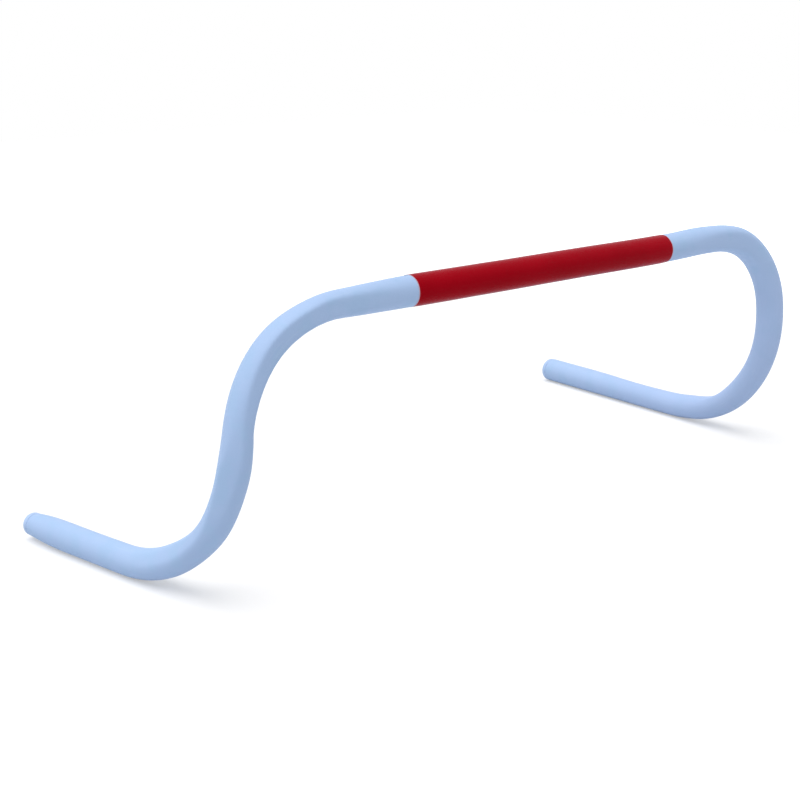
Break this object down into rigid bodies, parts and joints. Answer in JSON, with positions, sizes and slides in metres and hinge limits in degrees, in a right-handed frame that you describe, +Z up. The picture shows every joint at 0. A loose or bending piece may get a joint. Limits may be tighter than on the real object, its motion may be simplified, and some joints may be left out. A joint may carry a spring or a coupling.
{
  "type": "training hurdle",
  "caption": "Low training hurdle bent from a single plastic pipe: straight bar with a red film sleeve, curved legs and two backward skid feet with weighted, capped ends.",
  "frame": {"origin": "middle of the footprint's bounding box, on the ground under the hurdle", "axes": "+X along the bar towards the longer foot, +Y the way both feet point, +Z up from the ground"},
  "size_m": [0.933, 0.4294, 0.2967],
  "materials": {
    "pipe_plastic": "satin pale blue-white plastic pipe, slightly uneven from hot bending",
    "red_film": "glossy dark red shrink film",
    "cap_plastic": "satin moulded plastic, a shade lighter than the pipe",
    "ballast_steel": "plain sawn steel bar, dull",
    "bung_rubber": "matt black rubber"
  },
  "bodies": {
    "root": {"bent_pipe": "pipe_plastic", "red_sleeve": "red_film", "left_end_cap": "cap_plastic", "right_end_cap": "cap_plastic", "left_ballast_rod": "ballast_steel", "right_ballast_rod": "ballast_steel", "left_ballast_stop": "bung_rubber", "right_ballast_stop": "bung_rubber"}
  },
  "joints": []
}
